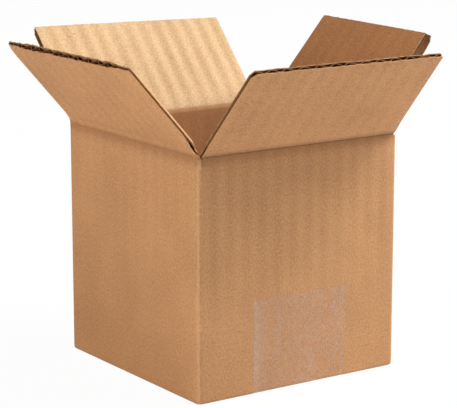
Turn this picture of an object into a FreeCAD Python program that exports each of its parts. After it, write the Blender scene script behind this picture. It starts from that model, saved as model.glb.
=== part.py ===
import FreeCAD, Part
import os
import Sketcher

# Open shipping box of corrugated board, in millimetres and degrees.
# It stands on the XY plane with the origin under its middle, and its front wall faces -Y.

SIZES = (
    ("inside_width", 101.6, "between the left and right walls"),
    ("inside_depth", 101.6, "between the front and back walls"),
    ("board", 4.0, "thickness of the board"),
    ("crease_height", 109.8, "front and back creases above the ground"),
    ("corner_radius", 3.0, "outside of the upright folds"),
    ("bottom_radius", 1.5, "outside of the bottom folds"),
    ("fold_gap", 0.3, "play between layers of board that lie on each other"),
    ("flap_trim", 2.3, "width that the slots take off a flap beside a corner"),
    ("slot_drop", 0.8, "slot ends below the front crease"),
    ("lip_taper", 4.0, "height over which a crushed lip grows to full board"),
    ("bottom_seam", 1.0, "between two bottom flaps that meet"),
    ("inner_seam", 4.2, "between the front and back flaps when shut"),
    ("outer_seam", 1.6, "between the left and right flaps when shut"),
    ("near_trim", 15.5, "width cut off the right flap at the front"),
    ("far_trim", 13.0, "width cut off the right flap at the glued joint"),
    ("tab_width", 35.0, "glue tab inside the right wall"),
    ("tab_thickness", 3.0, "glue tab, pressed flatter than the board"),
    ("tab_clear", 1.0, "glue tab's ends from the layers above and below"),
    ("tab_bevel", 9.0, "height lost by the tab's free edge at each end"),
    ("joint_gap", 1.0, "right wall's cut edge short of the back face"),
    ("joint_fold", 2.5, "outside of the fold between back wall and tab"),
    ("front_lean", 41.0, "front flap outward from upright"),
    ("back_lean", 42.0, "back flap outward from upright"),
    ("left_lean", 40.0, "left flap outward from upright"),
    ("right_lean", 40.0, "right flap outward from upright"),
    ("relief_angle", 25.0, "crushed slopes at the root of the left and right flaps"),
    ("edge_thickness", 3.0, "board at a flap's knife-cut edge"),
    ("pinch_length", 2.5, "length over which the cut edge is pressed thinner"),
    ("corner_cut", 1.8, "blunted corners of the flaps"),
    ("liner", 0.35, "outer papers of the board"),
    ("medium", 0.3, "wavy paper between the liners"),
    ("flute_pitch", 8.43, "one full wave of the medium"),
    ("arch_width", 5.0, "opening under one arch of the medium"),
    ("side_slot", 1.0, "depth of the open flute along a side edge"),
    ("side_margin", 1.8, "side edge to the first whole arch"),
    ("crush_length", 6.0, "flutes pressed shut beside a crease"),
    ("tape_width", 50.8, "width of the tape"),
    ("tape_thickness", 0.1, "thickness of the tape"),
    ("tape_leg", 43.5, "tape's ends above the ground"),
    ("tooth_pitch", 1.6, "teeth along the tape's torn ends"),
    ("tooth_depth", 0.8, "height of those teeth"),
)

# Sizes that follow from the ones above
HALF_WIDTH = "(Sizes.inside_width / 2 + Sizes.board)"
HALF_DEPTH = "(Sizes.inside_depth / 2 + Sizes.board)"
LAYER = "(Sizes.board + Sizes.fold_gap)"
LIP = "(Sizes.flap_trim - Sizes.fold_gap)"
PLAY = "(Sizes.fold_gap / 2)"
HINGE_HEIGHT = f"(Sizes.crease_height + {LAYER} - {LIP})"
SEAT_HEIGHT = f"(Sizes.crease_height - {LAYER})"
TAPE_BEND = "(Sizes.bottom_radius + Sizes.tape_thickness)"

# How far a cutting outline reaches past what it cuts
CLEAR = "5"

doc = FreeCAD.newDocument("open_box")


def fill_sheet():
    """Writes the driving sizes, each in a cell with its own alias."""
    new_sheet = doc.addObject("Spreadsheet::Sheet", "Sizes")
    for row, (alias, number, meaning) in enumerate(SIZES, start=1):
        new_sheet.set(f"A{row}", alias)
        new_sheet.set(f"B{row}", str(number))
        new_sheet.setAlias(f"B{row}", alias)
        new_sheet.set(f"C{row}", meaning)
    doc.recompute()
    return new_sheet


def size(expression):
    """Returns what an expression of the sheet's sizes comes to."""
    return float(sheet.evalExpression(expression))


def new_body(label):
    """Starts a sub-part that is built up from sketches."""
    body = doc.addObject("PartDesign::Body", label)
    body.Label = label
    return body


def new_sketch(body, name, plane, offset="0"):
    """Starts a sketch parallel to one of the body's own planes."""
    sketch = body.newObject("Sketcher::SketchObject", name)
    support = next(item for item in body.Origin.OriginFeatures if item.Role == plane)
    sketch.AttachmentSupport = [(support, "")]
    sketch.MapMode = "FlatFace"
    sketch.setExpression("AttachmentOffset.Base.z", offset)
    return sketch


def bind(sketch, kind, place, expression):
    """Adds a dimension to a sketch and ties it to the sheet."""
    index = sketch.addConstraint(Sketcher.Constraint(kind, *place, size(expression)))
    sketch.setExpression(f"Constraints[{index}]", expression)


def arc_between(start, stop, radius, side):
    """Makes the shorter arc, with its centre left (1) or right (-1) of the way."""
    way = stop - start
    across = FreeCAD.Vector(-way.y, way.x, 0).normalize() * side
    reach = max(radius**2 - (way.Length / 2) ** 2, 0) ** 0.5
    crown = (start + stop) / 2 + across * (reach - radius)
    return Part.Arc(start, crown, stop)


def outline(sketch, corners):
    """Adds a closed outline to a sketch.

    A corner is a pair of expressions. Where an arc runs on to the next
    corner, the arc's radius and the side of its centre follow them.
    """
    spots = [FreeCAD.Vector(size(corner[0]), size(corner[1]), 0) for corner in corners]
    ends = []
    for start, stop, corner in zip(spots, spots[1:] + spots[:1], corners):
        if len(corner) == 2:
            edge = sketch.addGeometry(Part.LineSegment(start, stop), False)
        else:
            curve = arc_between(start, stop, size(corner[2]), corner[3])
            edge = sketch.addGeometry(curve, False)
            bind(sketch, "Radius", (edge,), corner[2])
        turned = sketch.getPoint(edge, 1).distanceToPoint(start) > 1e-6
        ends.append((edge, 2, 1) if turned else (edge, 1, 2))
    for (edge, _, last), (following, first, _) in zip(ends, ends[1:] + ends[:1]):
        sketch.addConstraint(Sketcher.Constraint("Coincident", edge, last, following, first))
    for (edge, first, _), corner in zip(ends, corners):
        bind(sketch, "DistanceX", (-1, 1, edge, first), corner[0])
        bind(sketch, "DistanceY", (-1, 1, edge, first), corner[1])


def rectangle(sketch, left, right, low, high):
    outline(sketch, [(left, low), (right, low), (right, high), (left, high)])


def pad(body, name, sketch, length, side_type="One side"):
    """Raises a sketch into solid along its own normal."""
    feature = body.newObject("PartDesign::Pad", name)
    feature.Profile = sketch
    feature.SideType = side_type
    feature.setExpression("Length", length)
    doc.recompute()
    return feature


def pocket(body, name, sketch, length, side_type="One side", turned=False):
    """Cuts a sketch out of the solid, and makes sure that it took something away."""
    before = body.Tip.Shape.Volume
    feature = body.newObject("PartDesign::Pocket", name)
    feature.Profile = sketch
    feature.SideType = side_type
    feature.Reversed = turned
    feature.setExpression("Length", length)
    doc.recompute()
    if not feature.Shape.Volume < before:
        raise RuntimeError(f"{body.Label}: {name} cuts nothing")
    return feature


def repeat_along_x(body, name, cut, sketch, pitch, count):
    """Repeats a cut in a row along the sketch's horizontal axis."""
    before = body.Tip.Shape.Volume
    row = body.newObject("PartDesign::LinearPattern", name)
    row.Originals = [cut]
    row.Direction = (sketch, ["H_Axis"])
    row.Mode = "Spacing"
    row.setExpression("Offset", pitch)
    row.setExpression("Occurrences", count)
    body.Tip = row
    doc.recompute()
    if not row.Shape.Volume < before:
        raise RuntimeError(f"{body.Label}: {name} repeats nothing")
    return row


def raise_walls(body):
    """Four upright walls around the empty inside, with three rounded folds."""
    sketch = new_sketch(body, "wall_ring", "XY_Plane")
    radius = "Sizes.corner_radius"
    outline(sketch, [
        (f"-{HALF_WIDTH} + {radius}", f"-{HALF_DEPTH}"),
        (f"{HALF_WIDTH} - {radius}", f"-{HALF_DEPTH}", radius, 1),
        (HALF_WIDTH, f"-{HALF_DEPTH} + {radius}"),
        (HALF_WIDTH, HALF_DEPTH),
        (f"-{HALF_WIDTH} + {radius}", HALF_DEPTH, radius, 1),
        (f"-{HALF_WIDTH}", f"{HALF_DEPTH} - {radius}"),
        (f"-{HALF_WIDTH}", f"-{HALF_DEPTH} + {radius}", radius, 1),
    ])
    half_width = "Sizes.inside_width / 2"
    half_depth = "Sizes.inside_depth / 2"
    rectangle(sketch, f"-{half_width}", half_width, f"-{half_depth}", half_depth)
    pad(body, "walls", sketch, f"{HINGE_HEIGHT} - {PLAY}")


def fold_bottom(body):
    """The bottom flaps: front and back ones inside, left and right ones under them."""
    lips = new_sketch(body, "bottom_lips", "XY_Plane")
    half_width = "Sizes.inside_width / 2"
    half_depth = "Sizes.inside_depth / 2"
    outer_lip = f"{HALF_DEPTH} - {LIP}"
    rectangle(lips, f"-{half_width}", half_width, f"-({outer_lip})", f"-{half_depth}")
    rectangle(lips, f"-{half_width}", half_width, half_depth, outer_lip)
    pocket(body, "bottom_lip_cuts", lips, LAYER, turned=True)

    outer = new_sketch(body, "outer_bottom_outline", "XY_Plane")
    edge = f"({HALF_DEPTH} - Sizes.flap_trim)"
    seam = "Sizes.bottom_seam / 2"
    rectangle(outer, f"-{half_width}", f"-{seam}", f"-{edge}", edge)
    rectangle(outer, seam, half_width, f"-{edge}", edge)
    pad(body, "outer_bottom_flaps", outer, "Sizes.board")

    inner = new_sketch(body, "inner_bottom_outline", "XY_Plane", LAYER)
    edge = f"({half_width} - Sizes.fold_gap)"
    rectangle(inner, f"-{edge}", edge, f"-{half_depth}", f"-{seam}")
    rectangle(inner, f"-{edge}", edge, seam, half_depth)
    pad(body, "inner_bottom_flaps", inner, "Sizes.board")


def glue_tab(body):
    """The tab that the back wall ends in, glued inside the right wall."""
    face = "Sizes.inside_width / 2"
    sketch = new_sketch(body, "tab_outline", "YZ_Plane", f"{face} - Sizes.tab_thickness")
    fold = "Sizes.inside_depth / 2"
    low = f"(2 * {LAYER} + Sizes.tab_clear)"
    high = f"({SEAT_HEIGHT} - Sizes.lip_taper - Sizes.tab_clear)"
    outline(sketch, [
        (f"{fold} - Sizes.tab_width", f"{low} + Sizes.tab_bevel"),
        (fold, low),
        (fold, high),
        (f"{fold} - Sizes.tab_width", f"{high} - Sizes.tab_bevel"),
    ])
    pad(body, "glue_tab", sketch, "Sizes.tab_thickness")


def mitre_front_and_back(body):
    """Slopes the front and back walls' tops from the crease down to the inside."""
    sketch = new_sketch(body, "mitre_outline", "YZ_Plane")
    crease = f"(Sizes.crease_height - {PLAY})"
    above = f"({HINGE_HEIGHT} + {CLEAR})"
    for side in ("-", ""):
        outline(sketch, [
            (f"{side}({HALF_DEPTH} + {CLEAR})", f"{crease} + {CLEAR}"),
            (f"{side}({HALF_DEPTH} - Sizes.board)", f"{crease} - Sizes.board"),
            (f"{side}({HALF_DEPTH} - Sizes.board)", above),
            (f"{side}({HALF_DEPTH} + {CLEAR})", above),
        ])
    pocket(body, "front_and_back_mitres", sketch, f"2 * ({HALF_WIDTH} + {CLEAR})", "Symmetric")


def thin_left_and_right(body):
    """Crushes the left and right walls' tops to a lip that the shut flaps clear."""
    sketch = new_sketch(body, "lip_outline", "XZ_Plane")
    peak = f"({HINGE_HEIGHT} - {PLAY})"
    ridge = f"({HALF_WIDTH} - {LIP})"
    for side in ("-", ""):
        outline(sketch, [
            (f"{side}({HALF_WIDTH} + {CLEAR})", f"{peak} - {LIP} - {CLEAR}"),
            (f"{side}{ridge}", peak),
            (f"{side}{ridge}", f"{peak} + {CLEAR}"),
            (f"{side}({HALF_WIDTH} + {CLEAR})", f"{peak} + {CLEAR}"),
        ])
    pocket(body, "outer_slopes", sketch, "Sizes.inside_depth", "Symmetric")

    sketch = new_sketch(body, "crush_outline", "XZ_Plane")
    inside = "Sizes.inside_width / 2"
    for side in ("-", ""):
        outline(sketch, [
            (f"{side}{ridge}", SEAT_HEIGHT),
            (f"{side}({inside})", f"{SEAT_HEIGHT} - Sizes.lip_taper"),
            (f"{side}({inside} - {CLEAR})", f"{SEAT_HEIGHT} - Sizes.lip_taper"),
            (f"{side}({inside} - {CLEAR})", f"{peak} + {CLEAR}"),
            (f"{side}{ridge}", f"{peak} + {CLEAR}"),
        ])
    pocket(body, "crushed_lips", sketch, "Sizes.inside_depth", "Symmetric")


def cut_slots(body):
    """Cuts the slots between the top flaps down to just below the creases."""
    floor = "Sizes.crease_height - Sizes.slot_drop"
    sketch = new_sketch(body, "slot_outlines", "XY_Plane", floor)
    for left in ("-", ""):
        for near in ("-", ""):
            outline(sketch, [
                (f"{left}({HALF_WIDTH} - Sizes.flap_trim)", f"{near}({HALF_DEPTH} - Sizes.flap_trim)"),
                (f"{left}({HALF_WIDTH} + {CLEAR})", f"{near}({HALF_DEPTH} - Sizes.flap_trim)"),
                (f"{left}({HALF_WIDTH} + {CLEAR})", f"{near}({HALF_DEPTH} + {CLEAR})"),
                (f"{left}({HALF_WIDTH} - Sizes.flap_trim)", f"{near}({HALF_DEPTH} + {CLEAR})"),
            ])
    pocket(body, "corner_slots", sketch, f"{LAYER} + {CLEAR}", turned=True)


def round_bottom(body):
    """Rounds the folds around the foot of the walls."""
    width = size(HALF_WIDTH)
    depth = size(HALF_DEPTH)
    walls = body.Tip
    names = []
    for number, edge in enumerate(walls.Shape.Edges, start=1):
        box = edge.BoundBox
        reach_x = max(-box.XMin, box.XMax)
        reach_y = max(-box.YMin, box.YMax)
        outermost = abs(reach_x - width) < 1e-6 or abs(reach_y - depth) < 1e-6
        if outermost and abs(box.ZMin) < 1e-6 and abs(box.ZMax) < 1e-6:
            names.append(f"Edge{number}")
    feature = body.newObject("PartDesign::Fillet", "bottom_folds")
    feature.Base = (walls, names)
    feature.setExpression("Radius", "Sizes.bottom_radius")
    doc.recompute()


def open_joint(body):
    """Parts the right wall's cut edge from the rounded fold of the back wall."""
    sketch = new_sketch(body, "joint_outline", "XY_Plane")
    inside = "(Sizes.inside_width / 2)"
    outline(sketch, [
        (inside, f"{HALF_DEPTH} - Sizes.joint_fold", "Sizes.joint_fold", 1),
        (f"{inside} - Sizes.joint_fold", HALF_DEPTH),
        (f"{inside} - Sizes.joint_fold", f"{HALF_DEPTH} + {CLEAR}"),
        (f"{HALF_WIDTH} + {CLEAR}", f"{HALF_DEPTH} + {CLEAR}"),
        (f"{HALF_WIDTH} + {CLEAR}", f"{HALF_DEPTH} - Sizes.joint_gap"),
        (inside, f"{HALF_DEPTH} - Sizes.joint_gap"),
    ])
    pocket(body, "glued_joint", sketch, f"{HINGE_HEIGHT} + {CLEAR}", turned=True)


def tape_section(body, name):
    """Sketches the strip of tape that runs under the box and up two walls."""
    sketch = new_sketch(body, name, "YZ_Plane")
    face = HALF_DEPTH
    skin = "Sizes.tape_thickness"
    bend = "Sizes.bottom_radius"
    outline(sketch, [
        (f"-({face} - {bend})", "0"),
        (f"{face} - {bend}", "0", TAPE_BEND, 1),
        (f"{face} + {skin}", TAPE_BEND),
        (f"{face} + {skin}", "Sizes.tape_leg"),
        (face, "Sizes.tape_leg"),
        (face, TAPE_BEND, bend, -1),
        (f"{face} - {bend}", skin),
        (f"-({face} - {bend})", skin, bend, -1),
        (f"-{face}", TAPE_BEND),
        (f"-{face}", "Sizes.tape_leg"),
        (f"-({face} + {skin})", "Sizes.tape_leg"),
        (f"-({face} + {skin})", TAPE_BEND, TAPE_BEND, 1),
    ])
    return sketch


def make_box_body():
    """The folded blank: walls, bottom flaps and glue tab in one piece."""
    body = new_body("box_body")
    raise_walls(body)
    fold_bottom(body)
    glue_tab(body)
    mitre_front_and_back(body)
    thin_left_and_right(body)
    cut_slots(body)
    round_bottom(body)
    open_joint(body)
    seat = tape_section(body, "tape_seat")
    pocket(body, "pressed_tape_seat", seat, "Sizes.tape_width", "Symmetric")
    return body


def make_bottom_tape():
    """One strip of tape over the bottom seam, with torn saw-tooth ends."""
    body = new_body("bottom_tape")
    pad(body, "strip", tape_section(body, "strip_section"), "Sizes.tape_width", "Symmetric")
    sketch = new_sketch(body, "tooth_outline", "XZ_Plane")
    count = "floor(Sizes.tape_width / Sizes.tooth_pitch)"
    start = f"(-{count} * Sizes.tooth_pitch / 2)"
    outline(sketch, [
        (start, "Sizes.tape_leg"),
        (f"{start} + Sizes.tooth_pitch / 2", "Sizes.tape_leg - Sizes.tooth_depth"),
        (f"{start} + Sizes.tooth_pitch", "Sizes.tape_leg"),
        (f"{start} + Sizes.tooth_pitch / 2", f"Sizes.tape_leg + {CLEAR}"),
    ])
    tooth = pocket(body, "tooth", sketch, f"2 * ({HALF_DEPTH} + {CLEAR})", "Symmetric")
    repeat_along_x(body, "teeth", tooth, sketch, "Sizes.tooth_pitch", count)
    return body


def arch(sketch, middle, base, rise, side):
    """Outlines the opening under one wave of the medium, seen from its end."""
    half = "Sizes.arch_width / 2"
    radius = f"(Sizes.arch_width ^ 2 / (8 * {rise}) + {rise} / 2)"
    outline(sketch, [
        (f"{middle} - {half}", base),
        (f"{middle} + {half}", base, radius, side),
    ])


def cut_flutes(body, start, stop, length, middle):
    """Opens the board's flutes at a flap's outer edge and along its two sides."""
    depth = f"{length} - Sizes.crush_length"
    core = "(Sizes.edge_thickness / 2 - Sizes.liner)"
    rise = f"(2 * {core} - Sizes.medium)"
    step = "(Sizes.flute_pitch / 2)"
    count = f"floor(({stop} - ({start}) - 2 * Sizes.side_margin) / {step})"
    first = f"(({start} + {stop}) / 2 - ({count} - 1) * {step} / 2)"
    rows = (
        ("low_arches", first, f"{middle} - {core}", 1, f"ceil({count} / 2)"),
        ("high_arches", f"({first} + {step})", f"{middle} + {core}", -1, f"floor({count} / 2)"),
    )
    for name, place, base, side, number in rows:
        sketch = new_sketch(body, f"{name}_outline", "XY_Plane", length)
        arch(sketch, place, base, rise, side)
        opening = pocket(body, f"first_of_{name}", sketch, depth)
        repeat_along_x(body, name, opening, sketch, "Sizes.flute_pitch", number)

    sketch = new_sketch(body, "side_slot_outlines", "XY_Plane", length)
    low = f"{middle} - {core}"
    high = f"{middle} + {core}"
    rectangle(sketch, f"{start} - {CLEAR}", f"{start} + Sizes.side_slot", low, high)
    rectangle(sketch, f"{stop} - Sizes.side_slot", f"{stop} + {CLEAR}", low, high)
    pocket(body, "side_slots", sketch, depth)


def make_flap(label, start, stop, length, root, outer, placement):
    """One top flap, upright along its hinge line before it is placed.

    Args:
        label: name of the flap.
        start: where its side edges lie along the hinge line, as expressions,
        stop: the one end and the other.
        length: hinge line to the outer edge.
        root: corners of the section beside the hinge line, inside to outside.
        outer: the outer face's distance from the hinge line.
        placement: expression that leans it out and puts it on its wall.
    """
    body = new_body(label)
    inner = f"(Sizes.board - {outer})"
    pinch = "(Sizes.board - Sizes.edge_thickness) / 2"
    section = new_sketch(body, "section", "YZ_Plane", start)
    outline(section, root + [
        (f"-{outer}", f"{length} - Sizes.pinch_length"),
        (f"-{outer} + {pinch}", length),
        (f"{inner} - {pinch}", length),
        (inner, f"{length} - Sizes.pinch_length"),
    ])
    pad(body, "plate", section, f"{stop} - ({start})")

    corners = new_sketch(body, "corner_outlines", "XZ_Plane")
    for edge, way in ((start, "+"), (stop, "-")):
        outline(corners, [
            (edge, f"{length} - Sizes.corner_cut"),
            (f"{edge} {way} Sizes.corner_cut", length),
            (f"{edge} {way} Sizes.corner_cut", f"{length} + {CLEAR}"),
            (edge, f"{length} + {CLEAR}"),
        ])
    pocket(body, "blunt_corners", corners, f"4 * Sizes.board", "Symmetric")
    cut_flutes(body, start, stop, length, f"(Sizes.board / 2 - {outer})")
    body.setExpression("Placement", placement)
    return body


def make_inner_flap(label, start, stop, yaw, side, lean):
    """A front or back flap, which shuts first and turns about its outer face."""
    root = [("Sizes.board", f"{PLAY} + Sizes.board"), ("0", PLAY)]
    length = f"({HALF_DEPTH} - Sizes.inner_seam / 2)"
    spot = f"vector(0; {side}{HALF_DEPTH}; Sizes.crease_height)"
    placement = f"placement({spot}; rotation({yaw}; 0; {lean}))"
    return make_flap(label, start, stop, length, root, "0", placement)


def make_outer_flap(label, start, stop, yaw, side, lean):
    """A left or right flap, which shuts over the others and turns about a line in the board."""
    inner = f"(Sizes.board - {LIP})"
    steep = "tan(Sizes.relief_angle * 1 deg)"
    root = [
        (inner, f"{PLAY} + {inner} / {steep}"),
        ("0", PLAY),
        (f"-{LIP}", f"{PLAY} + {LIP} / {steep}"),
    ]
    length = f"({HALF_WIDTH} - {LIP} - Sizes.outer_seam / 2)"
    spot = f"vector({side}({HALF_WIDTH} - {LIP}); 0; {HINGE_HEIGHT})"
    placement = f"placement({spot}; rotation({yaw}; 0; {lean}))"
    return make_flap(label, start, stop, length, root, LIP, placement)


def make_flaps():
    """The four top flaps, each on its own wall."""
    wide = f"({HALF_WIDTH} - Sizes.flap_trim)"
    deep = f"({HALF_DEPTH} - Sizes.flap_trim)"
    joint = f"(Sizes.inside_width / 2 - Sizes.fold_gap)"
    near = f"({HALF_DEPTH} - Sizes.near_trim)"
    far = f"({HALF_DEPTH} - Sizes.far_trim)"
    return [
        make_inner_flap("front_flap", f"-{wide}", wide, 0, "-", "Sizes.front_lean"),
        make_inner_flap("back_flap", f"-{joint}", wide, 180, "", "Sizes.back_lean"),
        make_outer_flap("left_flap", f"-{deep}", deep, -90, "-", "Sizes.left_lean"),
        make_outer_flap("right_flap", f"-{near}", far, 90, "", "Sizes.right_lean"),
    ]


def check(pieces):
    """Stops if any object failed or any piece is not one valid solid."""
    for item in doc.Objects:
        if "Invalid" in item.State or "Error" in item.State:
            raise RuntimeError(f"{item.Label} failed: {item.State}")
    for piece in pieces:
        shape = piece.Shape
        if shape.isNull() or not shape.isValid() or len(shape.Solids) != 1:
            raise RuntimeError(f"{piece.Label} is not one valid solid")


sheet = fill_sheet()
pieces = [make_box_body(), make_bottom_tape()] + make_flaps()
doc.recompute()
check(pieces)

os.makedirs("parts", exist_ok=True)
for piece in pieces:
    piece.Shape.exportStep(f"parts/{piece.Label}.step")
    print(f"{piece.Label}: {piece.Shape.Volume:.1f} mm3")
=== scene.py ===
"""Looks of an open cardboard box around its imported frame: kraft board, fluted flaps and clear tape."""

import logging
import math
from dataclasses import dataclass, field
from enum import Enum
from typing import Callable, Sequence

import bmesh
import bpy
from mathutils import Matrix, Vector, noise

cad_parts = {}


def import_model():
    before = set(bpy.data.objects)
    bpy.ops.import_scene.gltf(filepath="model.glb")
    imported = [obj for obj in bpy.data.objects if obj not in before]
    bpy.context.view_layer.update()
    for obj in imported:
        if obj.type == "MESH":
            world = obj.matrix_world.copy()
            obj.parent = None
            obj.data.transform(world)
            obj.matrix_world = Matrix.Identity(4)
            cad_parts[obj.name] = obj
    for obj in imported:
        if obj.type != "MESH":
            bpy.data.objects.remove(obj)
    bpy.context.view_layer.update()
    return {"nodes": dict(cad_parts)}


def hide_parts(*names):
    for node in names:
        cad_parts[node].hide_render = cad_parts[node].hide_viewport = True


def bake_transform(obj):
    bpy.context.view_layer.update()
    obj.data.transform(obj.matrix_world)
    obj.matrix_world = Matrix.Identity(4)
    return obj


log = logging.getLogger("cardboard_box")

MM = 0.001
IMAGE_WIDTH_PX = 457.0
SENSOR_MM = 36.0

# The board and its folds, in millimetres.
BOARD = 4.0
LINER = 0.35
MEDIUM = 0.3
FLUTE_PITCH = 8.43
COLUMNS_PER_FLUTE = 12
HALF_WALL = 54.8
FOLD_RADIUS = 3.0
SLOT_FLOOR = 109.0
SLOT_SIDE = 52.5
INNER_MARGIN = 1.1
EDGE_STEPS = (0.9, 1.7)
NOISE_SPAN = (0.3, 0.7)
REST_PLACE = "rest_place"

Point2 = tuple[float, float]
Colour = tuple[float, float, float, float]
Feed = float | bpy.types.NodeSocket


class Side(Enum):
    """The wall that a flap is folded from."""

    FRONT = "front"
    BACK = "back"
    LEFT = "left"
    RIGHT = "right"


class CreaseKind(Enum):
    """Where in the board's thickness a crease turns."""

    OUTER_FACE = "outer face"
    MID_BOARD = "middle of the board"


def linear(hex_colour: str, alpha: float = 1.0) -> Colour:
    """Turns an sRGB hex colour to linear light.

    Args:
        hex_colour: Six hex digits after a hash sign.
        alpha: Opacity to return with it.

    Returns:
        Red, green, blue and alpha for a shader socket.
    """
    channels = [int(hex_colour[i : i + 2], 16) / 255.0 for i in (1, 3, 5)]
    low = 0.04045
    turned = [c / 12.92 if c <= low else ((c + 0.055) / 1.055) ** 2.4 for c in channels]
    return turned[0], turned[1], turned[2], alpha


def add_node(
    tree: bpy.types.NodeTree,
    kind: str,
    inputs: dict[str | int, object] | None = None,
    **settings: object,
) -> bpy.types.Node:
    """Adds a node, sets its settings, and fills or links its inputs.

    Args:
        tree: The node tree to add to.
        kind: Blender's type name of the node.
        inputs: Socket name or number, and its value or the output socket that feeds it.
        **settings: Properties of the node.

    Returns:
        The new node.
    """
    node = tree.nodes.new(kind)
    for name, value in settings.items():
        setattr(node, name, value)
    for key, value in (inputs or {}).items():
        if isinstance(value, bpy.types.NodeSocket):
            tree.links.new(value, node.inputs[key])
        else:
            node.inputs[key].default_value = value
    return node


def calculate(tree: bpy.types.NodeTree, operation: str, *values: Feed) -> bpy.types.NodeSocket:
    """Adds a sum on numbers and sockets.

    Args:
        tree: The node tree to add to.
        operation: Blender's name of the sum.
        *values: What goes in, in order.

    Returns:
        The socket with the result.
    """
    return add_node(tree, "ShaderNodeMath", dict(enumerate(values)), operation=operation).outputs[0]


def ranged(
    tree: bpy.types.NodeTree,
    value: bpy.types.NodeSocket,
    span: Point2,
    target: Point2,
    smooth: bool = False,
) -> bpy.types.NodeSocket:
    """Stretches one span of a value over another, and holds it beyond both ends.

    Args:
        tree: The node tree to add to.
        value: The socket that is read.
        span: Where the value begins and ends to count.
        target: What it becomes at the two ends.
        smooth: Whether it eases in and out.

    Returns:
        The socket with the result.
    """
    inputs = {0: value, 1: span[0], 2: span[1], 3: target[0], 4: target[1]}
    easing = "SMOOTHSTEP" if smooth else "LINEAR"
    return add_node(tree, "ShaderNodeMapRange", inputs, interpolation_type=easing).outputs[0]


def mix_colours(
    tree: bpy.types.NodeTree,
    share: bpy.types.NodeSocket,
    under: Colour | bpy.types.NodeSocket,
    over: Colour | bpy.types.NodeSocket,
) -> bpy.types.NodeSocket:
    """Lays one colour over another.

    Args:
        tree: The node tree to add to.
        share: How much the upper colour covers.
        under: The lower colour.
        over: The upper colour.

    Returns:
        The socket with the mixed colour.
    """
    return add_node(tree, "ShaderNodeMix", {0: share, 6: under, 7: over}, data_type="RGBA").outputs[2]


def mottle(
    tree: bpy.types.NodeTree,
    place: bpy.types.NodeSocket,
    size_mm: float,
    detail: float,
    roughness: float = 0.5,
) -> bpy.types.NodeSocket:
    """Adds soft noise of a given size.

    Args:
        tree: The node tree to add to.
        place: The socket with the place on the piece.
        size_mm: About how large the patches are.
        detail: How many finer layers there are.
        roughness: How strongly the finer layers show.

    Returns:
        The socket with a value around one half.
    """
    inputs = {"Vector": place, "Scale": 1.0 / (size_mm * MM), "Detail": detail, "Roughness": roughness}
    return add_node(tree, "ShaderNodeTexNoise", inputs).outputs[0]


def in_metres(span: Point2) -> Point2:
    """Turns a span in millimetres to metres."""
    return span[0] * MM, span[1] * MM


def paper_place(tree: bpy.types.NodeTree, bends: bool) -> bpy.types.NodeSocket:
    """Where a point of the paper lies, in metres, for its patterns.

    Args:
        tree: The node tree that needs it.
        bends: Whether the piece is a flap that keeps its places at rest in an attribute, which is then read
            instead of the object's coordinates.

    Returns:
        The socket that carries the place.
    """
    if bends:
        return add_node(tree, "ShaderNodeAttribute", attribute_name=REST_PLACE).outputs["Vector"]
    return add_node(tree, "ShaderNodeTexCoord").outputs["Object"]


def new_material(name: str) -> tuple[bpy.types.Material, bpy.types.NodeTree, bpy.types.Node]:
    """Makes an empty node material.

    Args:
        name: Plain name of the finish.

    Returns:
        The material, its node tree and its output node.
    """
    material = bpy.data.materials.new(name)
    material.use_nodes = True
    material.node_tree.nodes.clear()
    return material, material.node_tree, add_node(material.node_tree, "ShaderNodeOutputMaterial")


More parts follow.
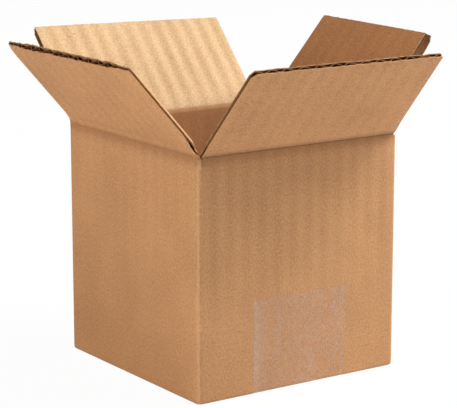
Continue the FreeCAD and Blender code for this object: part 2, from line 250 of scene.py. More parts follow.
@dataclass(frozen=True)
class KraftPaper:
    """Unbleached kraft linerboard, rolled and glued over flutes: matt brown, flecked with fibre,
    with soft stripes where the paper sinks between the flute tips, drawn as bumps and as painted shade and
    highlight in the colour.

    Pairs are spans, or what a value becomes at the two ends of a span. Names ending in _mm are in
    millimetres.
    """

    name: str = "kraft_linerboard"
    light: str = "#CF9A6D"
    dark: str = "#A57852"
    fleck: str = "#774F2E"
    rubbed: str = "#D6AB83"
    crease_shade_colour: str = "#7A4F30"
    inside_shade_colour: str = "#A06638"
    painted_stripe_shade: float = 0.11
    stripe_patch_mm: float = 35.0
    stripe_heights_mm: Point2 = (35.0, 75.0)
    stripe_strengths: Point2 = (0.25, 1.7)
    sideways_strength: float = 0.3
    relief_mm: float = 0.012
    fibre_mm: float = 0.75
    fibre_squash: float = 0.7
    fibre_relief_mm: float = 0.12
    blotch_mm: float = 26.0
    blotch_share: float = 0.12
    fleck_mm: float = 1.4
    fleck_span: Point2 = (0.66, 0.76)
    fleck_share: float = 0.5
    rub_insets_mm: Point2 = (1.93, 1.77)
    rub_share: float = 0.35
    crease_shade_rise_mm: Point2 = (103.5, 109.7)
    crease_shade_fall_mm: Point2 = (109.9, 112.6)
    crease_shade_share: float = 0.42
    roughness: float = 0.86
    inside_shade_share: float = 0.0
    bends: bool = False

    def stripes(
        self,
        tree: bpy.types.NodeTree,
        place: bpy.types.NodeSocket,
        xyz: bpy.types.Node,
        sideways: bpy.types.NodeSocket,
    ) -> bpy.types.NodeSocket:
        """Adds the stripes over the flutes.

        Args:
            tree: The node tree to add to.
            place: The socket with the place on the paper.
            xyz: The node that splits it.
            sideways: 1 on the left and right walls.

        Returns:
            The socket with the height of the paper: crests above zero and hollows below.
        """
        choice = {0: sideways, 2: xyz.outputs["X"], 3: xyz.outputs["Y"]}
        along = add_node(tree, "ShaderNodeMix", choice, data_type="FLOAT").outputs[0]
        turns = calculate(tree, "MULTIPLY", along, 2.0 * math.pi / (FLUTE_PITCH * MM))
        wave = calculate(tree, "COSINE", turns)
        stripes = calculate(tree, "MULTIPLY", wave, mottle(tree, place, self.stripe_patch_mm, 1.0))
        if self.bends:
            return stripes
        # The washboard is weaker towards the bottom of the walls and on the left and right walls, both as
        # bump and as painted shade.
        upper = ranged(tree, xyz.outputs["Z"], in_metres(self.stripe_heights_mm), self.stripe_strengths)
        calm = ranged(tree, sideways, (0.0, 1.0), (1.0, self.sideways_strength))
        return calculate(tree, "MULTIPLY", stripes, calculate(tree, "MULTIPLY", upper, calm))

    def build(self) -> bpy.types.Material:
        """Makes the material.

        Returns:
            A material whose patterns keep to the paper.
        """
        material, tree, output = new_material(self.name)
        place = paper_place(tree, self.bends)
        xyz = add_node(tree, "ShaderNodeSeparateXYZ", {0: place})
        size_x = calculate(tree, "ABSOLUTE", xyz.outputs["X"])
        size_y = calculate(tree, "ABSOLUTE", xyz.outputs["Y"])
        # Left and right walls have |x| above |y|: their flutes are counted along y, the others' along x.
        sideways = calculate(tree, "GREATER_THAN", size_x, size_y)
        stripes = self.stripes(tree, place, xyz, sideways)
        # Fibres are finer than a pixel, so they are drawn about a millimetre long to show at all.
        lying = add_node(
            tree, "ShaderNodeMapping", {"Vector": place, "Scale": (1.0, 1.0, self.fibre_squash)}
        )
        fibre = mottle(tree, lying.outputs[0], self.fibre_mm, 4.0, 0.65)
        grain = ranged(tree, fibre, NOISE_SPAN, (0.0, 1.0))
        blotch = mottle(tree, place, self.blotch_mm, 3.0)
        cloudy = ranged(tree, blotch, NOISE_SPAN, (-self.blotch_share, self.blotch_share))
        # Painted shade and highlight: the flute stripes darken the colour over the hollows and lighten it
        # over the crests.
        shade = calculate(tree, "MULTIPLY_ADD", stripes, self.painted_stripe_shade, calculate(tree, "ADD", grain, cloudy))
        paper = mix_colours(tree, shade, linear(self.dark), linear(self.light))
        specks = mottle(tree, place, self.fleck_mm, 2.0)
        dots = ranged(tree, specks, self.fleck_span, (0.0, self.fleck_share))
        flecked = mix_colours(tree, dots, paper, linear(self.fleck))
        # The upright folds are rubbed pale where |x| plus |y| is largest.
        near, far = (2.0 * HALF_WALL - inset for inset in self.rub_insets_mm)
        both = calculate(tree, "ADD", size_x, size_y)
        fold = ranged(tree, both, in_metres((near, far)), (0.0, self.rub_share), smooth=True)
        low = calculate(tree, "LESS_THAN", xyz.outputs["Z"], SLOT_FLOOR * MM)
        worn = mix_colours(tree, calculate(tree, "MULTIPLY", fold, low), flecked, linear(self.rubbed))
        # Painted shade at the flaps' creases: the colour darkens towards each crease from about 6 mm below
        # it, and fades out a few millimetres above it.
        height = xyz.outputs["Z"]
        rise = ranged(tree, height, in_metres(self.crease_shade_rise_mm), (0.0, self.crease_shade_share), smooth=True)
        fall = ranged(tree, height, in_metres(self.crease_shade_fall_mm), (self.crease_shade_share, 0.0), smooth=True)
        crease_shaded = mix_colours(tree, calculate(tree, "MINIMUM", rise, fall), worn, linear(self.crease_shade_colour))
        # Painted shade inside the box: faces within the walls are mixed towards a darker brown.
        widest = calculate(tree, "MAXIMUM", size_x, size_y)
        within = calculate(tree, "LESS_THAN", widest, (HALF_WALL - BOARD + INNER_MARGIN) * MM)
        inner = calculate(tree, "MULTIPLY", within, self.inside_shade_share)
        finished = mix_colours(tree, inner, crease_shaded, linear(self.inside_shade_colour))
        washboard = add_node(
            tree, "ShaderNodeBump", {"Height": stripes, "Distance": self.relief_mm * MM, "Strength": 1.0}
        )
        rough = add_node(
            tree,
            "ShaderNodeBump",
            {
                "Height": fibre,
                "Distance": self.fibre_relief_mm * MM,
                "Strength": 0.5,
                "Normal": washboard.outputs[0],
            },
        )
        surface = add_node(
            tree,
            "ShaderNodeBsdfPrincipled",
            {
                "Base Color": finished,
                "Roughness": self.roughness,
                "Specular IOR Level": 0.25,
                "Normal": rough.outputs[0],
            },
        )
        tree.links.new(surface.outputs[0], output.inputs[0])
        return material


@dataclass(frozen=True)
class CutPaper:
    """Paper sliced by the die: the raw cut is paler and rougher than the rolled face, and the fluted
    middle sheet is darker: partly recycled paper, partly painted shade for the flute openings."""

    name: str
    light: str
    dark: str
    grain_mm: float = 0.8
    relief_mm: float = 0.2

    def build(self) -> bpy.types.Material:
        """Makes the material.

        Returns:
            A material of two mottled colours.
        """
        material, tree, output = new_material(self.name)
        grain = mottle(tree, paper_place(tree, True), self.grain_mm, 4.0, 0.7)
        spread = ranged(tree, grain, NOISE_SPAN, (0.0, 1.0))
        rough = add_node(
            tree, "ShaderNodeBump", {"Height": grain, "Distance": self.relief_mm * MM, "Strength": 0.6}
        )
        surface = add_node(
            tree,
            "ShaderNodeBsdfPrincipled",
            {
                "Base Color": mix_colours(tree, spread, linear(self.dark), linear(self.light)),
                "Roughness": 0.95,
                "Specular IOR Level": 0.2,
                "Normal": rough.outputs[0],
            },
        )
        tree.links.new(surface.outputs[0], output.inputs[0])
        return material


@dataclass(frozen=True)
class TapeFilm:
    """Clear polypropylene packing tape on kraft: a thin glossy film that greys the paper a little,
    with small air bubbles under it and a paler band at its sides."""

    name: str = "clear_packing_tape"
    tint: str = "#F8D3B8"
    edge: str = "#F9D9BF"
    half_width_mm: float = 25.4
    band_insets_mm: Point2 = (5.5, 1.0)
    band_haze: float = 0.05
    streak_mm: float = 7.0
    streak_squash: float = 0.12
    bubble_mm: float = 3.5
    speckle_mm: float = 0.8
    speckle_weight: float = 1.4
    haze_span: Point2 = (1.4, 2.0)
    haze: Point2 = (0.04, 0.30)
    relief_mm: float = 0.05

    def build(self) -> bpy.types.Material:
        """Makes the material.

        Returns:
            A see-through material that is denser at the tape's sides.
        """
        material, tree, output = new_material(self.name)
        place = paper_place(tree, False)
        xyz = add_node(tree, "ShaderNodeSeparateXYZ", {0: place})
        across = calculate(tree, "ABSOLUTE", xyz.outputs["X"])
        start, end = (self.half_width_mm - inset for inset in self.band_insets_mm)
        band = ranged(tree, across, in_metres((start, end)), (0.0, 1.0), smooth=True)
        # The film was rubbed down lengthwise, so its haze runs in streaks up the wall.
        drawn = add_node(
            tree, "ShaderNodeMapping", {"Vector": place, "Scale": (1.0, 1.0, self.streak_squash)}
        )
        streaks = mottle(tree, drawn.outputs[0], self.streak_mm, 2.0)
        bubbles = mottle(tree, place, self.bubble_mm, 4.0)
        # The paper's fibres touch the glue in places only, so the film's haze is speckled too.
        speckle = mottle(tree, place, self.speckle_mm, 3.0)
        both = calculate(tree, "ADD", streaks, bubbles)
        mixed = calculate(tree, "MULTIPLY_ADD", speckle, self.speckle_weight, both)
        dense = calculate(
            tree, "MULTIPLY_ADD", band, self.band_haze, ranged(tree, mixed, self.haze_span, self.haze)
        )
        ripple = add_node(
            tree, "ShaderNodeBump", {"Height": mixed, "Distance": self.relief_mm * MM, "Strength": 0.5}
        )
        surface = add_node(
            tree,
            "ShaderNodeBsdfPrincipled",
            {
                "Base Color": mix_colours(tree, band, linear(self.tint), linear(self.edge)),
                "Roughness": 0.32,
                "IOR": 1.49,
                "Alpha": dense,
                "Normal": ripple.outputs[0],
            },
        )
        tree.links.new(surface.outputs[0], output.inputs[0])
        return material


def deselect_all() -> None:
    """Leaves edit mode, if a piece is in it, and clears the selection."""
    if bpy.context.object and bpy.context.object.mode != "OBJECT":
        bpy.ops.object.mode_set(mode="OBJECT")
    bpy.ops.object.select_all(action="DESELECT")


def activate(piece: bpy.types.Object) -> None:
    """Makes one piece the only selected and active object.

    Args:
        piece: The object to work on next.
    """
    deselect_all()
    piece.select_set(True)
    bpy.context.view_layer.objects.active = piece


def select_vertices(piece: bpy.types.Object, test: Callable[[Vector], bool]) -> None:
    """Selects an edited piece's vertices by their place.

    Args:
        piece: The object that is in edit mode.
        test: Says for a vertex's place, in millimetres, whether it is wanted.
    """
    mesh = bmesh.from_edit_mesh(piece.data)
    for vertex in mesh.verts:
        vertex.select = test(vertex.co / MM)
    mesh.select_flush_mode()
    mesh.select_flush(True)
    bmesh.update_edit_mesh(piece.data)


def run_sheet(name: str, u_range: Point2, columns: int, line: Sequence[Point2]) -> bpy.types.Object:
    """Draws a sheet of paper by extruding an edge along a line, in the flap's own axes.

    Args:
        name: Name of the new object.
        u_range: Where the sheet begins and ends along the crease, in millimetres.
        columns: How many strips the edge is divided into.
        line: Points (s, w) that the sheet follows, away from the crease and through the board.

    Returns:
        The sheet, open and without thickness.
    """
    deselect_all()
    bpy.ops.mesh.primitive_grid_add(x_subdivisions=columns, y_subdivisions=1, size=MM)
    piece = bpy.context.object
    piece.name = name
    bpy.ops.object.mode_set(mode="EDIT")
    bpy.ops.mesh.select_mode(type="VERT")
    select_vertices(piece, lambda place: place.y > 0.0)
    bpy.ops.mesh.delete(type="VERT")
    bpy.ops.mesh.select_all(action="SELECT")
    width = u_range[1] - u_range[0]
    start = Vector(((u_range[0] + u_range[1]) * 0.5, line[0][0] + 0.5, line[0][1])) * MM
    bpy.ops.transform.resize(value=(width, 1.0, 1.0))
    bpy.ops.transform.translate(value=start)
    for here, there in zip(line, line[1:]):
        step = Vector((0.0, there[0] - here[0], there[1] - here[1])) * MM
        bpy.ops.mesh.extrude_region_move(TRANSFORM_OT_translate={"value": step})
    bpy.ops.mesh.select_all(action="SELECT")
    bpy.ops.mesh.normals_make_consistent(inside=False)
    bpy.ops.object.mode_set(mode="OBJECT")
    return piece


def press(piece: bpy.types.Object, rule: Callable[[Vector], Vector]) -> None:
    """Moves every point of a sheet by a rule, where no operator gives the paper's own unevenness.

    Args:
        piece: The sheet, in its flap's axes.
        rule: Gives a point's new place for its old one, both in millimetres.
    """
    for vertex in piece.data.vertices:
        vertex.co = rule(vertex.co / MM) * MM
    piece.data.update()


def thicken(piece: bpy.types.Object, thickness: float, finishes: Sequence[bpy.types.Material]) -> None:
    """Gives a sheet its thickness about its middle, and closes it.

    Args:
        piece: The open sheet.
        thickness: In millimetres.
        finishes: The material of the faces, and that of the cut rim.
    """
    activate(piece)
    for finish in finishes:
        piece.data.materials.append(finish)
    solid = piece.modifiers.new("thickness", "SOLIDIFY")
    solid.thickness = thickness * MM
    solid.offset = 0.0
    solid.material_offset_rim = len(finishes) - 1
    bpy.ops.object.modifier_apply(modifier=solid.name)
    bpy.ops.object.mode_set(mode="EDIT")
    bpy.ops.mesh.select_all(action="SELECT")
    bpy.ops.mesh.normals_make_consistent(inside=False)
    bpy.ops.object.mode_set(mode="OBJECT")


def smoothstep(value: float, low: float, high: float) -> float:
    """Rises smoothly from 0 to 1.

    Args:
        value: What is judged.
        low: Where the rise begins.
        high: Where it ends.

    Returns:
        A share between 0 and 1.
    """
    t = min(max((value - low) / (high - low), 0.0), 1.0)
    return t * t * (3.0 - 2.0 * t)


def bezier(a: Point2, b: Point2, c: Point2, d: Point2, count: int) -> list[Point2]:
    """Points on a cubic curve, both ends included.

    Args:
        a: Start point.
        b: First handle.
        c: Second handle.
        d: End point.
        count: How many points.

    Returns:
        The points in order.
    """
    points = []
    for i in range(count):
        t = i / (count - 1)
        k = 1.0 - t
        points.append(
            tuple(
                k**3 * a[n] + 3 * k * k * t * b[n] + 3 * k * t * t * c[n] + t**3 * d[n]
                for n in range(2)
            )
        )
    return points


@dataclass
class FlutedFlap:
    """One top flap: two liners and the fluted sheet between them, folded on a crushed crease.

    Its own axes are u along the crease, s away from it and w through the board, towards the face
    that is inside when the flap is shut. Sizes are in millimetres. Low and high are the two ends of u.

    Attributes:
        side: The wall that it is folded from.
        kind: Where in the board its crease turns.
        hinge: A point of the crease, in the box's axes.
        lean_deg: How far it leans out from upright at rest.
        u_range: Where it begins and ends along the crease.
        length: From the crease to the free edge.
        seed: Keeps its unevenness apart from the other flaps'.
        edge_opening: How thick the board is at its free edge.
        side_opening: How thick it is at its side edges.
        low_end: How far the low free corner is out of place, along u and s.
        high_end: The same for the high free corner.
        low_cut: How much is cut off the low free corner.
        high_cut: The same for the high free corner.
        fray: How ragged the free edge is.
        relief: How deep the washboard is.
        crush_length: How far the knife crushed the board along its free edge.
        side_crush: The same along its side edges.
        outer_share: Which share of the crushing the outer face takes.
        end_closing: Which share of the free edge's opening is lost towards its ends.
        turn_length: How far from the crease the bend reaches, either way.
        inside: Name of the inner liner's finish.
        medium: Name of the fluted sheet's finish.
        rim: Name of the finish of the inner liner's cut edge.
        inner_short: How far the inner liner stops short of the high end.
        root_reach: How far the outer liner's root reaches round the upright fold.
        flute_start: Where the fluted sheet begins, away from the crease.
        finishes: The materials by name.
    """

    side: Side
    kind: CreaseKind
    hinge: tuple[float, float, float]
    lean_deg: float
    u_range: Point2
    length: float
    seed: float
    edge_opening: float = 3.0
    side_opening: float = 1.6
    low_end: Point2 = (0.0, 0.0)
    high_end: Point2 = (0.0, 0.0)
    low_cut: float = 0.4
    high_cut: float = 0.4
    fray: float = 0.25
    relief: float = 0.1
    crush_length: float = 2.5
    side_crush: float = 4.5
    outer_share: float = 0.3
    end_closing: float = 0.45
    turn_length: float = 2.1
    inside: str = "liner"
    medium: str = "flutes"
    rim: str = "cut"
    inner_short: float = 0.0
    root_reach: float = 0.0
    flute_start: float = 4.0
    finishes: dict[str, bpy.types.Material] = field(default_factory=dict)

    @property
    def outward(self) -> Vector:
        """Level direction away from the box."""
        return {
            Side.FRONT: Vector((0, -1, 0)),
            Side.BACK: Vector((0, 1, 0)),
            Side.LEFT: Vector((-1, 0, 0)),
            Side.RIGHT: Vector((1, 0, 0)),
        }[self.side]

    @property
    def axes(self) -> Matrix:
        """Turns the flap's own axes into the box's, about the crease.

        Returns:
            The matrix of the leaning flap, in metres.
        """
        lean = math.radians(self.lean_deg)
        away = self.outward * math.sin(lean) + Vector((0, 0, 1)) * math.cos(lean)
        through = -self.outward * math.cos(lean) + Vector((0, 0, 1)) * math.sin(lean)
        along = away.cross(through)
        turned = Matrix((along, away, through)).transposed().to_4x4()
        return Matrix.Translation(Vector(self.hinge) * MM) @ turned

    @property
    def middle(self) -> float:
        """Height w of the middle of the board."""
        return BOARD / 2.0 if self.kind is CreaseKind.OUTER_FACE else 0.0

    def on_wall(self, inward: float, down: float) -> Point2:
        """A point of the wall below the crease, in the flap's own axes.

        Args:
            inward: Millimetres from the crease towards the inside of the box.
            down: Millimetres below the crease.

        Returns:
            Its s and w.
        """
        lean = math.radians(self.lean_deg)
        return (
            -inward * math.sin(lean) - down * math.cos(lean),
            inward * math.cos(lean) - down * math.sin(lean),
        )

    def board_rows(self, first: float) -> list[float]:
        """Distances from the crease at which the sheets have a row of points.

        Args:
            first: The nearest one.

        Returns:
            Rows that are close at the crushed free edge and wide between.
        """
        last = self.length - self.crush_length
        count = 10
        rows = [first + (last - first) * i / count for i in range(count + 1)]
        return rows + [last + step for step in EDGE_STEPS] + [self.length]

    def outer_line(self) -> list[Point2]:
        """The outer liner's line, from inside the wall over the crease to the free edge.

        Returns:
            Points (s, w) in order.
        """
        if self.kind is CreaseKind.OUTER_FACE:
            face = LINER / 2.0
            root = [self.on_wall(0.45, 1.8), self.on_wall(0.4, 0.5)]
            root += [(-0.12, 0.38), (0.45, 0.3), (1.2, 0.2), (2.0, face)]
            return root + [(s, face) for s in self.board_rows(3.2)]
        face = -BOARD / 2.0 + LINER / 2.0
        lift = math.radians(90.0 - self.lean_deg)
        start = self.on_wall(-1.72, 2.5)
        rise = 1.3
        first_handle = (start[0] + math.sin(lift) * rise, start[1] + math.cos(lift) * rise + 0.35)
        root = [self.on_wall(-1.6, 4.5)]
        if self.root_reach > 0.0:
            root = [self.on_wall(-1.5, 7.2), self.on_wall(-1.86, 6.4), self.on_wall(-1.86, 3.6)]
        root += bezier(start, first_handle, (2.2, face + 0.75), (4.9, face), 9)
        return root + [(s, face) for s in self.board_rows(6.5)]

    def inner_line(self) -> list[Point2]:
        """The inner liner's line, from the wall through the crushed valley to the free edge.

        Returns:
            Points (s, w) in order.
        """
        if self.kind is CreaseKind.OUTER_FACE:
            face = BOARD - LINER / 2.0
            fold = self.on_wall(3.5, 0.5)
            rise = [self.on_wall(3.76, 6.5), self.on_wall(3.8, 4.6)]
            rise += [self.on_wall(3.78, 3.2), self.on_wall(3.68, 1.8)]
            turn = bezier(fold, (fold[0] + 0.5, fold[1] + 0.45), (0.6, 3.5), (4.4, face), 7)
            return rise + turn + [(s, face) for s in self.board_rows(7.0)]
        face = BOARD / 2.0 - LINER / 2.0
        root = [self.on_wall(-0.3, 3.0), self.on_wall(-0.22, 1.0), self.on_wall(0.15, 0.25)]
        root += [(-0.05, 0.4), (0.7, 0.55), (1.8, 0.85), (3.0, 1.3), (4.2, 1.66), (5.2, face)]
        return root + [(s, face) for s in self.board_rows(6.8)]

    def flute_span(self) -> Point2:
        """Where whole flutes begin and end along the crease, tip to tip.

        Returns:
            The two places, in millimetres.
        """
        centre = (self.u_range[0] + self.u_range[1]) / 2.0
        flutes = math.floor((self.u_range[1] - self.u_range[0] - 1.5) / FLUTE_PITCH)
        half = flutes * FLUTE_PITCH / 2.0
        return centre - half, centre + half

    def tip(self, u: float) -> float:
        """1 where a flute touches the inner liner, and -1 where it touches the outer one."""
        return math.cos(2.0 * math.pi * (u - self.flute_span()[0]) / FLUTE_PITCH)

    def opening(self, u: float) -> float:
        """How thick the board's free edge is at a place along it.

        Args:
            u: Place along the crease.

        Returns:
            Millimetres between the two faces, less near the edge's ends.
        """
        centre = (self.u_range[0] + self.u_range[1]) / 2.0
        half = (self.u_range[1] - self.u_range[0]) / 2.0
        end = abs(u - centre) / half
        uneven = noise.noise(Vector((u * 0.11, self.seed, 3.7))) * 0.6
        return self.edge_opening * (1.0 - self.end_closing * smoothstep(end, 0.55, 1.0)) + uneven

    def thickness(self, u: float, s: float) -> float:
        """How thick the board is at a place: the knife and the slots crush its edges.

        Args:
            u: Place along the crease.
            s: Place away from it.

        Returns:
            Millimetres between the two faces.
        """
        edge = min(u - self.u_range[0], self.u_range[1] - u)
        last = self.length - self.crush_length
        side = self.side_opening + (BOARD - self.side_opening) * smoothstep(edge, 0.2, self.side_crush)
        free = BOARD + (self.opening(u) - BOARD) * smoothstep(s, last - 1.5, self.length)
        return max(min(side, free), 2.0 * LINER + MEDIUM)

    def outer_face(self, u: float, s: float) -> float:
        """Height w of the board's outer face."""
        return self.middle - BOARD / 2.0 + self.outer_share * (BOARD - self.thickness(u, s))

    def spread(self, u: float, s: float) -> Vector:
        """How far a place moves because the flap's ends aren't quite square.

        Args:
            u: Place along the crease.
            s: Place away from it.

        Returns:
            The move, in the flap's own axes.
        """
        low, high = self.u_range
        share = (u - low) / (high - low)
        reach = min(max(s / self.length, 0.0), 1.0)
        end = [a * (1.0 - share) + b * share for a, b in zip(self.low_end, self.high_end)]
        return Vector((end[0] * reach, end[1] * reach, 0.0))

    def round_the_corner(self, u: float, s: float, w: float) -> tuple[float, float, float]:
        """Draws the outer liner's root out over the corner slot, round the upright fold.

        Args:
            u: Place along the crease.
            s: Place away from it.
            w: Place through the board.

        Returns:
            The new place, where the sheet's ends are wider below the crease than above it.
        """
        low, high = self.u_range
        near_end = 1.0 - smoothstep(min(u - low, high - u), 0.0, 3.0)
        drawn = self.root_reach * near_end * (1.0 - smoothstep(s, -1.2, 2.2))
        u += drawn if u > 0.0 else -drawn
        past = min(max(abs(u) - HALF_WALL + FOLD_RADIUS, 0.0), FOLD_RADIUS - 0.2)
        inward = FOLD_RADIUS - math.sqrt(FOLD_RADIUS**2 - past**2)
        inward -= 0.2 * smoothstep(abs(u), SLOT_SIDE - 0.3, SLOT_SIDE + 0.3) * smoothstep(s, -1.7, -0.9)
        inward *= 1.0 - smoothstep(s, 0.0, 3.0)
        shift = self.on_wall(inward, 0.0)
        return u, s + shift[0], w + shift[1]

    def paper_rule(self, facing: float) -> Callable[[Vector], Vector]:
        """How a liner departs from its drawn line.

        Args:
            facing: 1 for the inner liner and -1 for the outer one.

        Returns:
            The rule for a point: washboard relief, crushed edges, cut corners and fray.
        """
        last = self.length - self.crush_length
        low, high = self.u_range
        cut_reach = 4.0
        # Spans of s over which the folded root gives way to the flat board.
        washboard_root, outer_root, valley_root, mid_root = (5.0, 12.0), (2.0, 9.0), (3.0, 9.0), (1.0, 7.0)
        valley_wall, mid_wall = (-4.5, -1.5), (-1.5, 0.8)
        valley_share, mid_pinch = 0.85, 1.3

        def rule(place: Vector) -> Vector:
            """Moves one point of the liner.

            Args:
                place: Its u, s and w on the drawn line.

            Returns:
                Its place on the worn sheet.
            """
            u, s, w = place
            edge = min(u - low, high - u)
            cut = self.low_cut if u - low < high - u else self.high_cut
            flat = smoothstep(s, *washboard_root) * (1.0 - smoothstep(s, last, self.length))
            flat *= smoothstep(edge, 0.0, self.side_crush)
            w += self.relief * 0.5 * self.tip(u) * flat
            loss = BOARD - self.thickness(u, s)
            if facing < 0:
                w += self.outer_share * loss * smoothstep(s, *outer_root)
            elif self.kind is CreaseKind.OUTER_FACE:
                root = 1.0 - smoothstep(s, *valley_root)
                w -= (1.0 - self.outer_share) * loss * (1.0 - root)
                w -= valley_share * loss * root * smoothstep(s, *valley_wall)
            else:
                root = 1.0 - smoothstep(s, *mid_root)
                pressed = 1.0 - smoothstep(edge, 0.2, self.side_crush)
                w -= (1.0 - self.outer_share) * loss * (1.0 - root)
                w -= mid_pinch * pressed * root * smoothstep(s, *mid_wall)
            if facing < 0 and self.root_reach > 0.0:
                u, s, w = self.round_the_corner(u, s, w)
            if edge < cut:
                s -= (cut - edge) * smoothstep(s, self.length - cut_reach, self.length)
            torn = smoothstep(s, last, self.length)
            ragged = noise.noise(Vector((u * 0.45, self.seed + facing, 0.0)))
            ragged += 0.5 * noise.noise(Vector((u * 1.3, self.seed + facing, 5.0)))
            w += self.fray * 0.5 * noise.noise(Vector((u * 0.3, self.seed * 2.0 + facing, 9.0))) * torn
            return Vector((u, s + self.fray * ragged * torn, w)) + self.spread(u, s)

        return rule

    def make_liner(self, facing: float) -> bpy.types.Object:
        """Makes one liner.

        Args:
            facing: 1 for the inner liner and -1 for the outer one.

        Returns:
            The closed sheet, in the flap's own axes.
        """
        line = self.inner_line() if facing > 0 else self.outer_line()
        low, high = self.u_range
        span = low, high - (self.inner_short if facing > 0 else 0.0)
        columns = round((span[1] - span[0]) / FLUTE_PITCH * COLUMNS_PER_FLUTE)
        sheet = run_sheet("liner", span, columns, line)
        press(sheet, self.paper_rule(facing))
        paper = self.finishes[self.inside if facing > 0 else "liner"]
        thicken(sheet, LINER, (paper, self.finishes[self.rim if facing > 0 else "cut_outer"]))
        # What lies below the crease is the wall's paper, its cut rim too.
        sheet.data.materials.append(self.finishes["liner"])
        wall_slot = len(sheet.data.materials) - 1
        wall_top = self.on_wall(3.5, 0.9)[0] * MM
        for face in sheet.data.polygons:
            if face.center.y < wall_top:
                face.material_index = wall_slot
        return sheet

    def make_flutes(self) -> bpy.types.Object:
        """Makes the fluted middle sheet.

        Returns:
            The closed sheet, in the flap's own axes.
        """
        span = self.u_range[0] + 0.15, self.u_range[1] - 0.15
        flutes = (span[1] - span[0]) / FLUTE_PITCH
        first = self.flute_start
        rows = [first, first + 2.0] + self.board_rows(first + 6.0)
        line = [(s, self.middle) for s in rows[:-1]] + [(self.length - 0.02, self.middle)]
        sheet = run_sheet("flutes", span, round(flutes * COLUMNS_PER_FLUTE), line)
        last = self.length - self.crush_length

        def rule(place: Vector) -> Vector:
            """Moves one point of the middle sheet onto its wave.

            Args:
                place: Its u, s and w on the flat sheet.

            Returns:
                Its place on the fluted sheet.
            """
            u, s, _ = place
            board = self.thickness(u, s)
            room = (board - 2.0 * LINER - MEDIUM) / 2.0
            height = room * (0.4 + 0.6 * smoothstep(s, first, first + 3.0))
            sway = 1.1 * noise.noise(Vector((u * 0.17, self.seed, 1.1)))
            bent = u + sway * smoothstep(s, last - 8.0, last)
            w = self.outer_face(u, s) + board / 2.0 + height * self.tip(bent)
            ragged = noise.noise(Vector((u * 0.6, self.seed + 7.0, 2.0)))
            s += self.fray * (ragged - 0.3) * smoothstep(s, last, self.length)
            return Vector((u, s, w)) + self.spread(u, s)

        press(sheet, rule)
        thicken(sheet, MEDIUM, (self.finishes[self.medium], self.finishes["cut_medium"]))
        return sheet

    def build(self) -> bpy.types.Object:
        """Makes the whole flap, keeps its places at rest in an attribute, and hides the flap's node.

        Returns:
            The finished piece.
        """
        parts = [self.make_liner(1.0), self.make_liner(-1.0), self.make_flutes()]
        deselect_all()
        for part in parts:
            part.select_set(True)
        bpy.context.view_layer.objects.active = parts[0]
        bpy.ops.object.join()
        piece = bpy.context.object
        piece.name = f"{self.side.value}_flap_board"
        piece.data.name = piece.name
        piece.matrix_world = self.axes
        activate(piece)
        bpy.ops.object.transform_apply(location=True, rotation=True, scale=True)
        bpy.ops.object.shade_smooth_by_angle(angle=math.radians(38.0))
        places = [0.0] * (3 * len(piece.data.vertices))
        piece.data.vertices.foreach_get("co", places)
        kept = piece.data.attributes.new(REST_PLACE, "FLOAT_VECTOR", "POINT")
        kept.data.foreach_set("vector", places)
        self.hang(piece)
        return piece

    def hang(self, piece: bpy.types.Object) -> None:
        """Bakes the piece's placing into its mesh, and hides the flap's node, which the piece stands for.

        Args:
            piece: The finished flap.
        """
        node = f"{self.side.value}_flap"
        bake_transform(piece)
        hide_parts(node)


@dataclass
class Flaps:
    """The four top flaps, each with its own lean, width and wear."""

    finishes: dict[str, bpy.types.Material]

    def build(self) -> list[bpy.types.Object]:
        """Makes all four.

        Returns:
            The finished pieces.
        """
        flaps = [
            FlutedFlap(
                Side.FRONT, CreaseKind.OUTER_FACE, (0.0, -54.8, 109.8), 41.0, (-52.5, 52.5), 52.7, 1.3,
                edge_opening=2.45, side_opening=1.9, low_end=(0.4, -1.3), high_end=(-2.8, -0.8),
                high_cut=2.0, fray=0.22, relief=0.05, outer_share=0.2, rim="cut_darker", end_closing=0.15,
                finishes=self.finishes,
            ),
            FlutedFlap(
                Side.BACK, CreaseKind.OUTER_FACE, (0.0, 54.8, 109.8), 42.0, (-52.5, 50.5), 52.7, 4.1,
                edge_opening=2.8, side_opening=3.2, low_end=(-1.0, 0.1), high_end=(-0.4, -2.7),
                low_cut=0.1, high_cut=0.1, fray=0.25, relief=0.2, outer_share=0.85, inside="painted_light_inside",
                finishes=self.finishes,
            ),
            FlutedFlap(
                Side.LEFT, CreaseKind.MID_BOARD, (-52.8, 0.0, 112.1), 41.5, (-52.5, 52.5), 52.0, 7.7,
                edge_opening=3.0, side_opening=1.25, low_end=(0.4, -1.0), high_end=(0.0, -1.2),
                low_cut=0.2, high_cut=0.1, fray=0.5, relief=0.05, side_crush=2.2, outer_share=0.5,
                root_reach=2.3, rim="cut_darker", finishes=self.finishes,
            ),
            FlutedFlap(
                Side.RIGHT, CreaseKind.MID_BOARD, (52.8, 0.0, 112.1), 40.0, (-41.8, 41.7), 52.0, 9.2,
                edge_opening=3.5, side_opening=3.7, low_end=(1.8, -0.6), high_end=(-0.7, -1.7),
                low_cut=0.1, high_cut=0.1, fray=0.2, relief=0.06, outer_share=0.95, medium="cut_medium",
                inner_short=2.4, inside="shade_tuned_inside", finishes=self.finishes,
            ),
        ]
        return [flap.build() for flap in flaps]


@dataclass
class Carton:
    """The walls and bottom, and the tape: frame nodes that keep their shape and get their finish."""

    nodes: dict[str, bpy.types.Object]

    def dress(self, node: str, finish: bpy.types.Material) -> None:
        """Gives a frame node one finish in every slot.

        Args:
            node: The node's name in the frame.
            finish: The material that it gets.
        """
        piece = self.nodes[node]
        if not piece.material_slots:
            piece.data.materials.append(finish)
        for place in piece.material_slots:
            place.material = finish


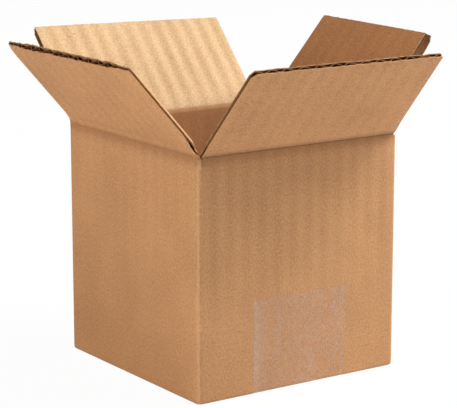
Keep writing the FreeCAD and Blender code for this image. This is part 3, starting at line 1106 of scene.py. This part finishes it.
@dataclass
class Studio:
    """White room, soft lamps and the camera of the photograph."""

    azimuth_deg: float = -34.53
    elevation_deg: float = 12.2
    roll_deg: float = -0.01
    distance: float = 906.7
    focal_px: float = 1935.8
    across: float = -0.9
    above: float = 18.5
    aim_height: float = 0.07
    fill: float = 0.05
    floor_radius: float = 3.0
    floor_drop: float = 0.0002
    floor_paper: str = "#E9E7E4"
    floor_white_share: float = 0.975

    def camera(self) -> bpy.types.Object:
        """Stands the camera where the photograph was taken from.

        Returns:
            The scene's camera.
        """
        azimuth, elevation = math.radians(self.azimuth_deg), math.radians(self.elevation_deg)
        back = Vector(
            (
                math.sin(azimuth) * math.cos(elevation),
                -math.cos(azimuth) * math.cos(elevation),
                math.sin(elevation),
            )
        )
        right = (-back).cross(Vector((0, 0, 1))).normalized()
        up = right.cross(-back)
        centre = Vector((0, 0, HALF_WALL))
        eye = (centre + back * self.distance + right * self.across + up * self.above) * MM
        roll = math.radians(self.roll_deg)
        level = right * math.cos(roll) + up * math.sin(roll)
        upright = up * math.cos(roll) - right * math.sin(roll)
        lens = bpy.data.cameras.new("studio_camera")
        lens.sensor_width = SENSOR_MM
        lens.sensor_fit = "HORIZONTAL"
        lens.lens = self.focal_px * SENSOR_MM / IMAGE_WIDTH_PX
        lens.clip_start, lens.clip_end = 0.01, 20.0
        camera = bpy.data.objects.new("studio_camera", lens)
        bpy.context.scene.collection.objects.link(camera)
        turned = Matrix((level, upright, back)).transposed().to_4x4()
        camera.matrix_world = Matrix.Translation(eye) @ turned
        bpy.context.scene.camera = camera
        return camera

    def lamp(self, name: str, place: Sequence[float], size: Point2, power: float, tint: str) -> None:
        """Adds a soft lamp that looks at the box.

        Args:
            name: What the lamp is for.
            place: Where it hangs, in metres.
            size: Its width and height, in metres.
            power: Its power, in watts.
            tint: Its colour.
        """
        light = bpy.data.lights.new(name, "AREA")
        light.shape = "RECTANGLE"
        light.size, light.size_y = size
        light.energy = power
        light.color = linear(tint)[:3]
        lamp = bpy.data.objects.new(name, light)
        bpy.context.scene.collection.objects.link(lamp)
        lamp.location = Vector(place)
        backwards = Vector(place) - Vector((0, 0, self.aim_height))
        lamp.rotation_euler = backwards.to_track_quat("Z", "Y").to_euler()

    def seen(self, tree: bpy.types.NodeTree) -> bpy.types.NodeSocket:
        """1 for what the camera sees, straight on or in gloss and film.

        Args:
            tree: The tree that needs it.

        Returns:
            The socket that carries it.
        """
        path = add_node(tree, "ShaderNodeLightPath")
        direct = calculate(tree, "MAXIMUM", path.outputs["Is Camera Ray"], path.outputs["Is Glossy Ray"])
        return calculate(tree, "MAXIMUM", direct, path.outputs["Is Transmission Ray"])

    def surroundings(self) -> None:
        """Lights the room evenly, and shows it white to the camera."""
        world = bpy.data.worlds.new("white_room")
        world.use_nodes = True
        tree = world.node_tree
        tree.nodes.clear()
        fill = add_node(tree, "ShaderNodeBackground", {0: linear("#FFFFFF"), 1: self.fill})
        white = add_node(tree, "ShaderNodeBackground", {0: linear("#FFFFFF"), 1: 1.0})
        mixed = add_node(
            tree, "ShaderNodeMixShader", {0: self.seen(tree), 1: fill.outputs[0], 2: white.outputs[0]}
        )
        add_node(tree, "ShaderNodeOutputWorld", {0: mixed.outputs[0]})
        bpy.context.scene.world = world

    def floor(self) -> bpy.types.Object:
        """Lays a white floor that keeps a faint shadow.

        Returns:
            The floor, which isn't part of the object.
        """
        deselect_all()
        bpy.ops.mesh.primitive_circle_add(
            vertices=96, radius=self.floor_radius, fill_type="NGON", location=(0, 0, -self.floor_drop)
        )
        floor = bpy.context.object
        floor.name = "floor"
        bpy.ops.object.transform_apply(location=True, rotation=True, scale=True)
        material, tree, output = new_material("white_paper_floor")
        matt = add_node(tree, "ShaderNodeBsdfDiffuse", {0: linear(self.floor_paper)})
        white = add_node(tree, "ShaderNodeEmission", {0: linear("#FFFFFF"), 1: 1.0})
        share = calculate(tree, "MULTIPLY", self.seen(tree), self.floor_white_share)
        mixed = add_node(tree, "ShaderNodeMixShader", {0: share, 1: matt.outputs[0], 2: white.outputs[0]})
        tree.links.new(mixed.outputs[0], output.inputs[0])
        floor.data.materials.append(material)
        return floor

    def build(self) -> None:
        """Sets up camera, lamps, room and floor."""
        bpy.context.scene.view_settings.view_transform = "Standard"
        self.camera()
        self.surroundings()
        self.floor()
        self.lamp("key", (0.88, -0.34, 1.32), (0.75, 0.75), 33.0, "#FBFFFF")
        self.lamp("right_high", (1.0, -0.55, 1.15), (0.6, 0.6), 12.0, "#FBFFFF")
        self.lamp("left_low", (-1.5, -0.42, 0.06), (1.1, 0.14), 9.5, "#FFFBF4")
        self.lamp("left_mid", (-1.5, -0.1, 0.35), (0.8, 0.5), 6.4, "#FFFBF4")


def main() -> None:
    """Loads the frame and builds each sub-assembly in order."""
    logging.basicConfig(level=logging.INFO, format="%(name)s %(message)s")
    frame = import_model()
    Studio().build()
    log.info("studio is set")
    finishes = {
        "liner": KraftPaper(name="kraft_linerboard_flap", inside_shade_share=0.45, bends=True).build(),
        # Painted light: a paler copy of the inside liner for the back flap, which faces the key lamp, with
        # stronger painted stripes.
        "painted_light_inside": KraftPaper(
            name="kraft_linerboard_inside_painted_light",
            light="#DBB68D",
            dark="#B38F67",
            painted_stripe_shade=0.35,
            relief_mm=0.035,
            inside_shade_share=0.45,
            bends=True,
        ).build(),
        # A shaded copy of the inside liner for the right flap's inner face, which lies in shade: its
        # warmer, more orange colours are tuned to that shade.
        "shade_tuned_inside": KraftPaper(
            name="kraft_linerboard_shade_tuned", light="#DEA06C", dark="#B27C51", inside_shade_share=0.45, bends=True
        ).build(),
        "cut": CutPaper("cut_inner_liner", "#D9B58C", "#A0754D", 2.0).build(),
        # A darker mottled rim for the inner liner of the front and left flaps.
        "cut_darker": CutPaper("cut_darker_liner", "#C3966C", "#74502F", 2.5).build(),
        "cut_outer": CutPaper("cut_outer_liner", "#C08D64", "#A27650").build(),
        "cut_medium": CutPaper("cut_medium", "#9C6B48", "#70492D").build(),
        # The fluted sheet is darker than its paper alone, partly as painted shade in the flute openings.
        "flutes": CutPaper("fluted_medium_painted_shade", "#6E4527", "#4A2B13").build(),
    }
    carton = Carton(frame["nodes"])
    carton.dress("box_body", KraftPaper(inside_shade_share=0.45).build())
    carton.dress("bottom_tape", TapeFilm().build())
    log.info("carton and tape are dressed")
    for piece in Flaps(finishes).build():
        log.info("%s has %d faces", piece.name, len(piece.data.polygons))


if __name__ == "__main__":
    main()
